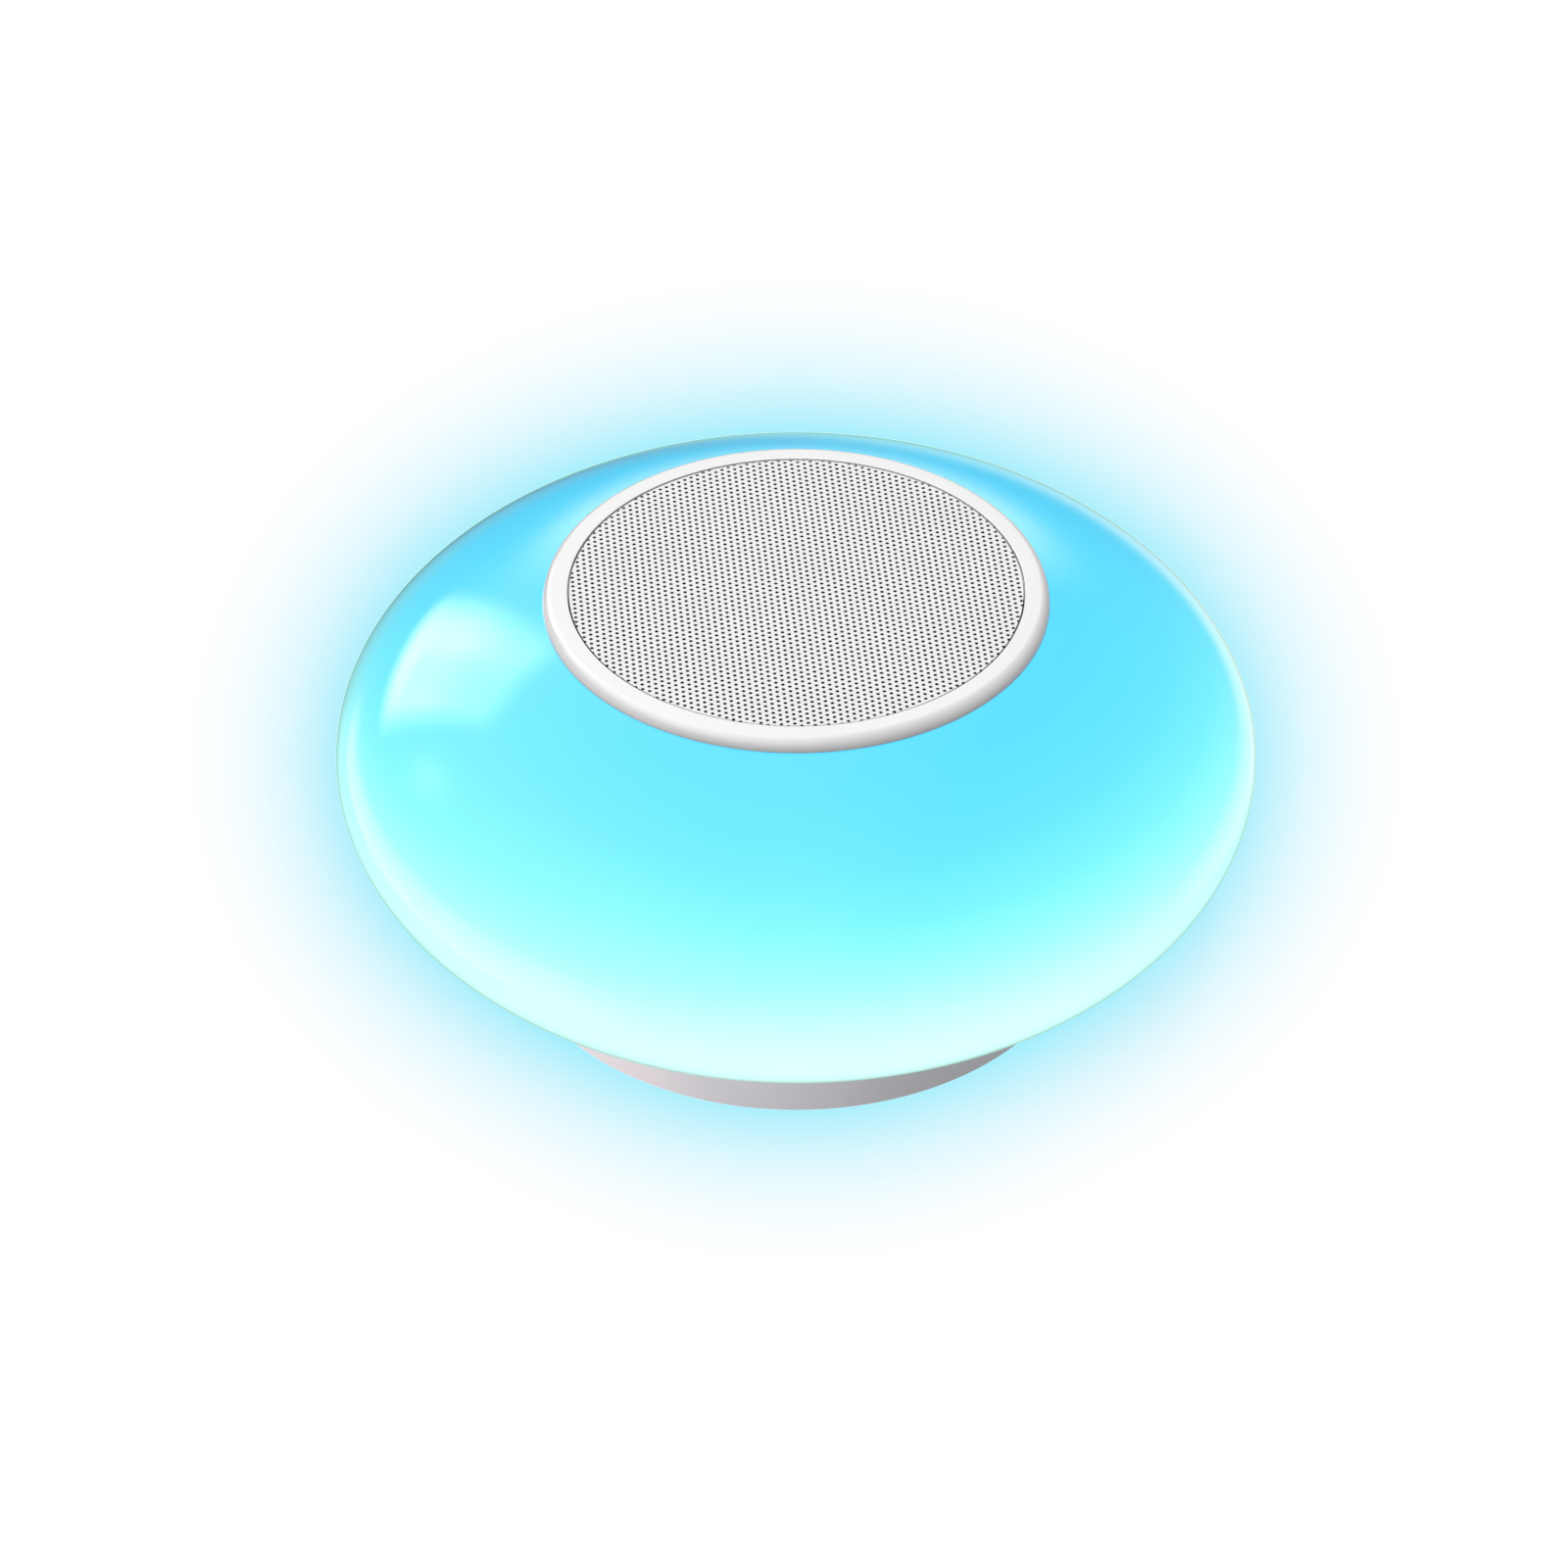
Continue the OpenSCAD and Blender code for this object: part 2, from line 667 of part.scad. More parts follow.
module driver_trim_ring() {
    color([0.2, 0.2, 0.2]) ring(rim_in_r, 32.1, 1.1, z_rim + 0.45);
}

// Half-round rubber roll between the cone's edge and the driver's rim
module surround() {
    z = z_rim + glue;
    z_roll = z + 0.4;                   // top of the flat edge, centre of the roll
    roll_r = 29.7;                      // distance of the roll's centre from the axis
    outer = 2.2;                        // section radii of the roll
    inner = 1.8;
    color(DARK) lathe(concat(
        [[rim_in_r, z], [rim_in_r, z_roll], [roll_r + outer, z_roll]],
        [for (t = steps(15, 165, 10)) [roll_r + outer * cos(t), z_roll + outer * sin(t)]],
        [[27.25, z_roll], [27.25, z - 2.2], [27.65, z - 2.2], [27.65, z]],
        [for (t = steps(165, 15, 10)) [roll_r + inner * cos(t), z_roll + (inner - 0.1) * sin(t)]],
        [[roll_r + inner, z]]));
}

// Corrugated disc that centres the voice coil
module spider() {
    z = z_shelf + glue;
    wave_in_r = 9.6;                    // three waves between these radii
    wave_out_r = 18.9;
    function wave(r) = r > wave_out_r || r < wave_in_r ? 0
        : 0.5 * sin((r - wave_in_r) / 9.3 * 1080);
    radii = concat([8.25], steps(wave_in_r, wave_out_r, 24), [20.3]);
    color([0.75, 0.62, 0.35]) lathe(concat(
        [for (r = radii) [r, z + wave(r)]],
        [for (r = reversed(radii)) [r, z + 0.35 + wave(r)]]));
}

module cone() {
    edge_r = 27.2;
    color(CONE) lathe([
        [neck_r, z_neck], [neck_r + cone_wall, z_neck], [26.5, z_edge - 3], [edge_r, z_edge - 3],
        [edge_r, z_edge], [edge_r - 0.5, z_edge], [cone_in_r, z_cone_in], [neck_r, z_neck_top]]);
}

// Shallow dome over the coil, standing on the cone's sloping face
module dust_cap() {
    r = 11;
    slope = (z_cone_in - z_neck_top) / (cone_in_r - neck_r);
    z_foot = z_neck_top + slope * (r - neck_r) + 0.08;
    color(CONE) lathe(concat(
        [for (t = steps(0, 90, 8)) [r * cos(t), z_foot + 3.2 * sin(t)]],
        [for (t = steps(90, 0, 8)) [(r - 0.5) * cos(t), z_foot + 2.8 * sin(t)]]));
}

module coil_former() {
    color([0.8, 0.65, 0.3]) ring(neck_r - glue, 8.0, z_neck + 1.2 - z_plate + 5, z_plate - 5);
}

module coil_winding() {
    color([0.75, 0.4, 0.2]) ring(8.6, 8.21, 5, z_plate - 4.5);
}

// ---------- battery ----------
cell_r = cell_d / 2;
z_cell = z_deck_top + 1.4 + cell_r;     // axis of the cell

module battery_cell() {
    translate([0, 0, z_cell]) {
        color([0.1, 0.45, 0.75]) bar_x(cell_r, cell_l - 1.2);
        color(STEEL) bar_x(cell_r - 0.9, cell_l - 0.6);
        color(STEEL) translate([cell_l / 2 - 0.4, 0, 0]) bar_x(3, 0.8);
    }
}

module battery_cradle() {
    l = 70.4;
    w = 22;
    color([0.2, 0.2, 0.22]) difference() {
        translate([-l / 2, -w / 2, z_deck_top + seat_gap]) cube([l, w, 9]);
        translate([0, 0, z_cell]) bar_x(cell_r + 0.1, cell_l + 0.7);
        // three gaps in the side walls, and a notch for the lead
        for (x = [-18, 0, 18]) translate([x - 5, -20, z_deck_top + 4]) cube([10, 40, 10]);
        translate([30, -1.5, z_deck_top + 6]) cube([8, 3, 10]);
    }
}

module battery_contacts() {
    color([0.8, 0.7, 0.4]) for (side = [-1, 1])
        translate([side * (cell_l / 2 + 0.18), 0, z_cell - 1]) cube([0.25, 8, 7], center = true);
}

// ---------- leads ----------
module battery_lead() {
    z_exit = z_cell + 0.5;
    way_x = battery_way[0];
    for (side = [-1, 1]) color(side > 0 ? "red" : "black")
        wire([[cell_l / 2 + 0.35, side * 0.9, z_exit], [way_x, side * 0.9, z_exit],
              [way_x, side * 0.9, z_plug]], 0.6);
}

module speaker_lead() {
    way_y = speaker_way[1];
    for (side = [-1, 1]) color(side > 0 ? "red" : "black")
        wire([[side * 1.2, -32.9, z_flange - 6.7], [side * 1.2, way_y, z_flange - 11],
              [side * 1.2, way_y, z_plug]], 0.6);
}

module led_lead() {
    colours = ["red", "green", "blue", "gray"];
    for (i = [0:3]) {
        x = i * 1.3 - 1.95;
        color(colours[i]) wire([[x, -41.6, z_plug], [x, -41.6, z_deck + 1.2],
                                [x, -43.0, z_deck_top + 1.4]], 0.5);
    }
}

// ---------- assembly ----------
shade();
upper_seal();
lower_seal();
bezel();
grille();
grille_cloth();
base_housing();
bottom_cover();
foot_ring();
cover_screws();
main_board();
wireless_module();
board_chips();
board_connectors();
charge_socket();
key_switches();
status_lamp();
status_lens();
board_screws();
led_board();
led_emitters();
led_board_screws();
light_reflector();
speaker_tub();
tub_screws();
damping_ring();
cable_grommet();
speaker_baffle();
bezel_screws();
driver_frame();
driver_gasket();
driver_screws();
driver_terminals();
driver_yoke();
driver_magnet();
driver_top_plate();
driver_trim_ring();
surround();
spider();
cone();
dust_cap();
coil_former();
coil_winding();
battery_cell();
battery_cradle();
battery_contacts();
battery_lead();
speaker_lead();
led_lead();
button(-button_x2);  // power_button
button(-button_x1);  // light_button
button(button_x1);  // volume_down_button
button(button_x2);  // volume_up_button
plunger(-button_x2);  // power_plunger
plunger(-button_x1);  // light_plunger
plunger(button_x1);  // volume_down_plunger
plunger(button_x2);  // volume_up_plunger
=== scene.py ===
"""A table lamp and speaker: a glowing, flattened opal globe with a white ring and a
round perforated grille on top, standing on a white foot.

The axis is Z, the floor is z = 0 and the front faces -Y. Shapes are in millimetres and
are scaled to metres when a mesh is made. Materials, lights and camera are in metres.
This script remakes the shade, bezel, grille and cloth, and dresses every other piece.
"""
import bpy
import bmesh
import json
import math
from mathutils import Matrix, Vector
from mathutils.geometry import delaunay_2d_cdt


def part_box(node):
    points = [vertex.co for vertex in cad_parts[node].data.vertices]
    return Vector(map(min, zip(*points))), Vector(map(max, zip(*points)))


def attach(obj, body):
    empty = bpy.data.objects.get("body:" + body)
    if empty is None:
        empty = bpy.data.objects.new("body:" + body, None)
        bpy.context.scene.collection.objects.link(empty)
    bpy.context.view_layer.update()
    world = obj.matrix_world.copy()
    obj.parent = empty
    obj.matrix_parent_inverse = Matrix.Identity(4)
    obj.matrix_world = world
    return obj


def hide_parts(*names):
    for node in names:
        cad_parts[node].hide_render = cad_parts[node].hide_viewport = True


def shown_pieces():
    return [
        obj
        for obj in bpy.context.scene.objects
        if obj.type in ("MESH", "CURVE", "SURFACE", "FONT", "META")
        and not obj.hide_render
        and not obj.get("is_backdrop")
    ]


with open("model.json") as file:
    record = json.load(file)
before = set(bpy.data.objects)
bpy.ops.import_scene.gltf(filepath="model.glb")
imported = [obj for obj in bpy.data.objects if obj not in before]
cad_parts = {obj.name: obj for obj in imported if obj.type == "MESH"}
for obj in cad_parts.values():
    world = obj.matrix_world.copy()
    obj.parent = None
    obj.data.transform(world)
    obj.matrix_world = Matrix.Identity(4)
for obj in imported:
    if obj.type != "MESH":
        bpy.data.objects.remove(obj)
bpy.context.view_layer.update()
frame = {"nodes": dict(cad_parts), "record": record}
scene = bpy.context.scene
MM = 0.001
TURN = 2 * math.pi
BODY = "lamp_speaker_body"

# ---------------------------------------------------------------- driving dimensions, mm
shade_lo, shade_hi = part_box("shade")
bezel_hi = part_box("bezel")[1]
grille_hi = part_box("grille")[1]
SHADE_R = (shade_hi[0] - shade_lo[0]) / 2 / MM      # the globe is an ellipsoid
SHADE_HALF = SHADE_R * 43.0 / 93.0                  # half its full height
TOP_Z = bezel_hi[2] / MM
MID_Z = TOP_Z - 39.1                                # the globe's widest level
BEZEL_R = bezel_hi[0] / MM
GRILLE_R = grille_hi[0] / MM
GRILLE_TOP = grille_hi[2] / MM
CLOTH_Z = TOP_Z - 0.85                              # level the cloth is set out from


# ---------------------------------------------------------------- mesh helpers
def mesh_object(name, points, faces):
    """An object from points in mm."""
    mesh = bpy.data.meshes.new(name)
    mesh.from_pydata([tuple(c * MM for c in point) for point in points], [], faces)
    mesh.validate()
    thing = bpy.data.objects.new(name, mesh)
    scene.collection.objects.link(thing)
    return thing


def lathe(name, profile, segments, closed=True, sharp_deg=35):
    """Turn (radius, z) points about Z; a closed profile joins its last point to its first."""
    points, faces = [], []
    count = len(profile)
    for i in range(segments):
        angle = TURN * i / segments
        points += [(r * math.cos(angle), r * math.sin(angle), z) for r, z in profile]
        here, there = i * count, (i + 1) % segments * count
        for k in range(count if closed else count - 1):
            after = (k + 1) % count
            faces.append((here + k, there + k, there + after, here + after))
    thing = mesh_object(name, points, faces)
    mesh = thing.data
    bm = bmesh.new()
    bm.from_mesh(mesh)
    bmesh.ops.remove_doubles(bm, verts=bm.verts, dist=1e-7)
    bmesh.ops.recalc_face_normals(bm, faces=bm.faces)
    bm.to_mesh(mesh)
    bm.free()
    for polygon in mesh.polygons:
        polygon.use_smooth = True
    mesh.set_sharp_from_angle(angle=math.radians(sharp_deg))
    return thing


def arc(centre_r, centre_z, radius, start, end, steps):
    """Profile points on a circle, from start to end in degrees."""
    angles = [math.radians(start + (end - start) * i / steps) for i in range(steps + 1)]
    return [(centre_r + radius * math.cos(a), centre_z + radius * math.sin(a)) for a in angles]


def stand_in(thing, slot, node):
    """Put a remade piece in place of the frame's own node."""
    thing.data.materials.append(materials[slot])
    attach(thing, BODY)
    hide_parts(node)


# ---------------------------------------------------------------- shader node helpers
class Nodes:
    """Short ways to add shader nodes; each value may be a number, a colour or a socket."""

    def __init__(self, tree):
        self.tree = tree
        self.texture_coords = None

    def plug(self, socket, value):
        if isinstance(value, bpy.types.NodeSocket):
            self.tree.links.new(value, socket)
        elif socket.type == "RGBA":
            socket.default_value = (*value, 1.0)
        else:
            socket.default_value = value

    def node(self, kind, inputs=None, **properties):
        made = self.tree.nodes.new(kind)
        for key, value in properties.items():
            setattr(made, key, value)
        for key, value in (inputs or {}).items():
            self.plug(made.inputs[key], value)
        return made

    def coords(self):
        if self.texture_coords is None:
            self.texture_coords = self.node("ShaderNodeTexCoord")
        return self.texture_coords.outputs["Object"]

    def split(self, vector):
        return self.node("ShaderNodeSeparateXYZ", {0: vector}).outputs

    def ray(self, kind):
        return self.node("ShaderNodeLightPath").outputs[f"Is {kind} Ray"]

    def noise(self, scale, detail=4.0, rough=0.55, coords=None):
        return self.node("ShaderNodeTexNoise", {
            "Vector": coords or self.coords(), "Scale": scale,
            "Detail": detail, "Roughness": rough}).outputs["Fac"]

    def math(self, operation, *operands, clamp=False):
        return self.node("ShaderNodeMath", dict(enumerate(operands)),
                         operation=operation, use_clamp=clamp).outputs[0]

    def add(self, a, b):
        return self.math("ADD", a, b)

    def times(self, first, *others):
        for other in others:
            first = self.math("MULTIPLY", first, other)
        return first

    def fit(self, value, scale, offset, clamp=False):
        """value * scale + offset"""
        return self.math("MULTIPLY_ADD", value, scale, offset, clamp=clamp)

    def step(self, value, start, end, low=0.0, high=1.0):
        """low at start, high at end, smooth between; start may be the larger."""
        return self.node("ShaderNodeMapRange", {
            "Value": value, "From Min": start, "From Max": end,
            "To Min": low, "To Max": high}, interpolation_type="SMOOTHSTEP").outputs[0]

    def bell(self, value, middle, width):
        """1 at the middle, falling to 1/e at one width away."""
        away = self.math("DIVIDE", self.math("SUBTRACT", value, middle), width)
        return self.math("EXPONENT", self.times(away, away, -1.0))

    def ramp(self, factor, stops):
        made = self.node("ShaderNodeValToRGB", {"Fac": factor})
        elements = made.color_ramp.elements
        while len(elements) > 1:
            elements.remove(elements[-1])
        elements[0].position = stops[0][0]
        elements[0].color = (*stops[0][1], 1.0)
        for position, colour in stops[1:]:
            elements.new(position).color = (*colour, 1.0)
        return made.outputs["Color"]

    def blend(self, factor, dark, light, start=0.3, end=0.7):
        """From one colour to another as the factor goes from start to end."""
        return self.ramp(factor, [(start, dark), (end, light)])

    def mix(self, factor, a, b, blend="MIX"):
        return self.node("ShaderNodeMix", {0: factor, 6: a, 7: b},
                         data_type="RGBA", blend_type=blend).outputs[2]


materials = {}


class Material(Nodes):
    """A new material, listed by its name."""

    def __init__(self, name):
        self.material = bpy.data.materials.new(name)
        self.material.use_nodes = True
        super().__init__(self.material.node_tree)
        self.surface = self.tree.nodes["Principled BSDF"]
        materials[name] = self.material

    def set(self, **values):
        """Set inputs of the surface, with _ for each space in their names."""
        for key, value in values.items():
            self.plug(self.surface.inputs[key.replace("_", " ")], value)

    def bump(self, height, strength, distance):
        made = self.node("ShaderNodeBump", {
            "Height": height, "Strength": strength, "Distance": distance})
        self.set(Normal=made.outputs["Normal"])


def scaled(colour, factor):
    return [c * factor for c in colour]


# ---------------------------------------------------------------- kinds of material
def plastic(name, base, rough, mottle=0.03, grain=0.15, grain_scale=900.0, coat=0.0, spread=0.05):
    """Moulded plastic: faint flow mottle in colour and roughness, fine moulded grain."""
    m = Material(name)
    flow = m.noise(scale=60.0, detail=3.0)
    fine = m.noise(scale=grain_scale, detail=5.0, rough=0.6)
    m.set(Base_Color=m.blend(flow, scaled(base, 1 - mottle), scaled(base, 1 + mottle)),
          Roughness=m.fit(flow, scale=spread, offset=rough - spread / 2),
          Coat_Weight=coat, Coat_Roughness=0.08)
    m.bump(fine, strength=grain, distance=0.00006)


def metal(name, base, rough, brushed=None, spread=0.12):
    """Bare metal; brushed is how far its scratches are squeezed along Z."""
    m = Material(name)
    cloud = m.noise(scale=140.0)
    if brushed:
        stretched = m.node("ShaderNodeMapping", {
            "Vector": m.coords(), "Scale": (1.0, 1.0, brushed)}).outputs[0]
        scratch = m.noise(scale=500.0, detail=3.0, coords=stretched)
    else:
        scratch = m.noise(scale=1400.0, detail=3.0)
    m.set(Base_Color=m.blend(cloud, scaled(base, 0.86), scaled(base, 1.08)),
          Roughness=m.fit(scratch, scale=spread, offset=rough - spread / 2), Metallic=1.0)
    m.bump(scratch, strength=0.25, distance=0.00003)


def woven(name, dark, light, pitch, rough):
    """Plain weave: crossed sine threads in colour and height."""
    m = Material(name)
    x, y, _ = m.split(m.coords())
    threads = [m.math("SINE", m.times(axis, TURN / pitch)) for axis in (x, y)]
    weave = m.fit(m.times(*threads), scale=0.5, offset=0.5, clamp=True)
    fuzz = m.noise(scale=1600.0)
    height = m.fit(fuzz, scale=0.5, offset=m.times(weave, 0.5))
    # the colour follows the height: painted shade in the weave's hollows, with a random fibre
    # tone
    m.set(Base_Color=m.blend(height, dark, light, start=0.25, end=0.75), Roughness=rough)
    m.bump(height, strength=0.6, distance=0.00012)


def paper(name, base, rough):
    """Pressed paper pulp: short fibres and a soft mottle."""
    m = Material(name)
    fibre = m.noise(scale=900.0, detail=8.0, rough=0.7)
    mottle = m.noise(scale=120.0, detail=3.0)
    tone = m.fit(fibre, scale=0.7, offset=m.times(mottle, 0.3))
    m.set(Base_Color=m.blend(tone, scaled(base, 0.7), scaled(base, 1.35)), Roughness=rough)
    m.bump(fibre, strength=0.5, distance=0.0001)


def board(name, base, trace):
    """Solder mask with faint buried tracks."""
    m = Material(name)
    cells = m.node("ShaderNodeTexVoronoi", {"Vector": m.coords(), "Scale": 220.0},
                   feature="DISTANCE_TO_EDGE", distance="MANHATTAN")
    track_width = 0.09
    track = m.math("LESS_THAN", cells.outputs["Distance"], track_width)
    m.set(Base_Color=m.mix(track, base, trace), Coat_Weight=0.3,
          Roughness=m.fit(m.noise(scale=300.0), scale=0.1, offset=0.28))
    m.bump(track, strength=0.35, distance=0.00003)


def copper_wire():
    """Enamelled copper: fine turns stacked along Z."""
    m = Material("copper_wire")
    wire_pitch = 0.0002
    z = m.split(m.coords())[2]
    turns = m.fit(m.math("SINE", m.times(z, TURN / wire_pitch)), scale=0.5, offset=0.5)
    # painted shade: the colour is darker in the grooves between turns and lighter on their crowns
    m.set(Base_Color=m.blend(turns, (0.30, 0.12, 0.05), (0.72, 0.34, 0.16), start=0.0, end=1.0),
          Metallic=1.0, Roughness=0.3)
    m.bump(turns, strength=0.6, distance=0.00005)


def clear_lens():
    """Status light pipe: clear plastic with a faint internal haze."""
    m = Material("clear_lens")
    haze = m.noise(scale=500.0)
    m.set(Base_Color=m.blend(haze, (0.75, 0.88, 0.95), (0.88, 0.96, 1.0)),
          Roughness=m.fit(haze, scale=0.1, offset=0.08), Transmission_Weight=0.35, IOR=1.49,
          Emission_Color=(0.35, 0.85, 1.0), Emission_Strength=0.25)


# The shade's glow by height: palest low down, deepening to cyan-blue towards the top.
# Columns: height from the widest level in half-heights of the globe, then R, G, B given off.
GLOW = [
    (-0.80, 0.86, 1.12, 1.14), (-0.38, 0.80, 1.12, 1.14), (-0.20, 0.755, 1.12, 1.14),
    (-0.055, 0.69, 1.12, 1.15), (0.058, 0.605, 1.12, 1.15), (0.153, 0.50, 1.11, 1.15),
    (0.236, 0.395, 1.09, 1.15), (0.31, 0.32, 1.05, 1.15), (0.378, 0.255, 0.995, 1.15),
    (0.44, 0.205, 0.935, 1.15), (0.50, 0.182, 0.885, 1.15), (0.55, 0.157, 0.86, 1.15),
    (0.60, 0.140, 0.815, 1.15), (0.69, 0.118, 0.785, 1.15), (0.80, 0.104, 0.75, 1.15),
    (0.95, 0.10, 0.73, 1.14),
]
GLOW_STRENGTH = 1.2         # the ramp holds the glow divided by this, which keeps it below 1
OPAL_IOR = 1.38


def opal_shade():
    m = Material("opal_shade")
    x, y, z = m.split(m.coords())
    height = m.node("ShaderNodeMapRange", {
        "Value": z, "From Min": (MID_Z - SHADE_HALF) * MM,
        "From Max": (MID_Z + SHADE_HALF) * MM}).outputs[0]          # 0 to 1 up the globe
    haze = m.noise(scale=9.0, detail=2.0, rough=0.4)
    hazy_height = m.add(height, m.fit(haze, scale=0.012, offset=-0.006))
    glow = m.ramp(hazy_height, [((level + 1) / 2, [c / GLOW_STRENGTH for c in colour])
                                for level, *colour in GLOW])
    facing = m.node("ShaderNodeLayerWeight", {"Blend": 0.5}).outputs["Facing"]  # 1 edge on

    # painted reflection: the white ring's light is painted into the glow, paling the wall just
    # behind it
    reach = m.math("SQRT", m.add(m.times(x, x), m.times(y, y)))
    pale = m.bell(reach, middle=(BEZEL_R + 0.5) * MM, width=7.0 * MM)
    behind = m.step(y, start=0.0, end=0.035)
    above = m.math("GREATER_THAN", height, 0.5)
    glow = m.mix(m.times(pale, behind, above), glow, (0.25, 0.20, 0.03), blend="ADD")

    # what the glossy surface mirrors it also keeps in: the glow weakens towards the outline
    mirror = m.node("ShaderNodeFresnel", {"IOR": OPAL_IOR}).outputs[0]
    glow = m.mix(mirror, glow, (0.0, 0.0, 0.0))
    # the wall's own thickness shows as a thin darker line at the outline
    outline = m.step(facing, start=0.84, end=0.94)
    glow = m.mix(outline, glow, (0.78, 0.74, 0.66), blend="MULTIPLY")
    # bounced light from the lamp stays mild and nearly neutral
    glow = m.mix(m.ray("Diffuse"), glow, (0.130, 0.125, 0.130))

    m.set(Base_Color=m.blend(haze, (0.018, 0.045, 0.050), (0.024, 0.055, 0.060)),
          Roughness=m.fit(haze, scale=0.03, offset=0.07), IOR=OPAL_IOR,
          Emission_Color=glow, Emission_Strength=GLOW_STRENGTH,
          Specular_IOR_Level=m.step(facing, start=0.88, end=0.95, low=0.5, high=0.2))
    m.bump(m.noise(scale=260.0, detail=2.0), strength=0.02, distance=0.00004)


# ---------------------------------------------------------------- a material for every slot
plastic("white_gloss", (0.91, 0.90, 0.895), rough=0.18, mottle=0.012, grain=0.05, coat=0.15,
        spread=0.04)
plastic("white_base", (0.95, 0.905, 0.95), rough=0.30, mottle=0.02, grain=0.12, coat=0.15)
plastic("button_white", (0.83, 0.80, 0.83), rough=0.34, mottle=0.02, grain=0.25)
plastic("grille_white", (0.88, 0.88, 0.88), rough=0.42, mottle=0.015, grain=0.3,
        grain_scale=2600.0)
woven("black_cloth", (0.006, 0.006, 0.0065), (0.022, 0.022, 0.024), pitch=0.0005, rough=0.9)
plastic("grey_rubber", (0.50, 0.50, 0.50), rough=0.75, mottle=0.08, grain=0.6, grain_scale=500.0)
plastic("clear_seal", (0.74, 0.80, 0.80), rough=0.5, grain=0.2)
plastic("black_rubber", (0.03, 0.03, 0.032), rough=0.6, mottle=0.15, grain=0.4,
        grain_scale=600.0)
metal("screw_steel", (0.55, 0.56, 0.58), rough=0.28)
board("green_board", (0.02, 0.16, 0.085), trace=(0.04, 0.26, 0.13))
board("blue_board", (0.015, 0.04, 0.13), trace=(0.03, 0.08, 0.22))
board("white_board", (0.80, 0.82, 0.80), trace=(0.70, 0.73, 0.70))
plastic("chip_black", (0.03, 0.03, 0.034), rough=0.55, mottle=0.12, grain=0.5)
plastic("connector_ivory", (0.80, 0.77, 0.66), rough=0.45)
metal("socket_steel", (0.60, 0.61, 0.63), rough=0.22, brushed=14.0)
plastic("lamp_white", (0.88, 0.88, 0.80), rough=0.22)
plastic("red_plastic", (0.50, 0.06, 0.05), rough=0.3)
plastic("white_reflector", (0.88, 0.89, 0.89), rough=0.6)
plastic("white_inner", (0.80, 0.81, 0.81), rough=0.5, grain=0.3)
paper("fibre_wadding", (0.72, 0.72, 0.70), rough=0.95)
plastic("black_steel", (0.035, 0.035, 0.038), rough=0.38, grain=0.35, grain_scale=1500.0)
paper("terminal_board", (0.40, 0.26, 0.10), rough=0.6)
metal("zinc_steel", (0.56, 0.56, 0.52), rough=0.36)
plastic("ferrite", (0.05, 0.05, 0.053), rough=0.62, mottle=0.2, grain=0.5, grain_scale=400.0)
paper("trim_card", (0.05, 0.05, 0.05), rough=0.9)
woven("spider_cloth", (0.42, 0.28, 0.10), (0.66, 0.50, 0.24), pitch=0.0007, rough=0.7)
paper("black_paper", (0.035, 0.035, 0.037), rough=0.8)
plastic("former_film", (0.50, 0.32, 0.10), rough=0.3)
plastic("cell_wrap", (0.03, 0.20, 0.42), rough=0.25, grain=0.1, coat=0.3)
plastic("black_plastic", (0.035, 0.035, 0.038), rough=0.42, mottle=0.1, grain=0.4)
metal("contact_metal", (0.70, 0.56, 0.28), rough=0.25)
plastic("lead_grey", (0.36, 0.36, 0.38), rough=0.4)
plastic("lead_red_black", (0.40, 0.03, 0.03), rough=0.4)
copper_wire()
clear_lens()
opal_shade()

for subpart in frame["record"]["subparts"]:
    piece = frame["nodes"][subpart["node"]]
    finish = materials[subpart["material_slot"]]
    if not piece.material_slots:
        piece.data.materials.append(finish)
    for material_slot in piece.material_slots:
        material_slot.material = finish


# ---------------------------------------------------------------- shade
WALL = 2.0
LOWER_OPENING_R = 54.0
UPPER_OPENING_R = 46.5


def wall_line(inset, steps):
    """Profile points up one face of the wall, from the lower opening to the upper."""
    across, up = SHADE_R - inset, SHADE_HALF - inset
    start = -math.acos(LOWER_OPENING_R / across)
    end = math.acos(UPPER_OPENING_R / across)
    angles = [start + (end - start) * i / steps for i in range(steps + 1)]
    return [(across * math.cos(a), MID_Z + up * math.sin(a)) for a in angles]


def make_shade():
    """Double-sided shell, open at top and bottom."""
    profile = wall_line(inset=0.0, steps=150) + wall_line(inset=WALL, steps=70)[::-1]
    shade = lathe("shade_shell", profile, segments=288, sharp_deg=50)
    stand_in(shade, "opal_shade", "shade")


# ---------------------------------------------------------------- bezel
FLANGE_Z = TOP_Z - 8.9              # the inward flange at the bottom is set out from here
FLANGE_R = 39.6                     # its bore
NECK_R, NECK_BORE_R = 46.0, 44.6    # wall through the shade's opening, outside and inside
LEDGE_R = 43.4                      # bore of the ledge under the grille
SHOULDER_R, SHOULDER_DROP = 1.9, 2.6
SHOULDER_POWER = 1.18               # above 1, the shoulder leaves the flat top more quickly
OUTER_EDGE_R = 0.15                 # radius of the lower outer edge
INNER_EDGE_R = 0.18                 # radius of the edge round the grille
WELL_R = GRILLE_R + 0.34            # opening the grille lies in


def shade_top(radius):
    """Height of the shade's upper surface at a radius."""
    return MID_Z + SHADE_HALF * math.sqrt(1 - (radius / SHADE_R) ** 2)


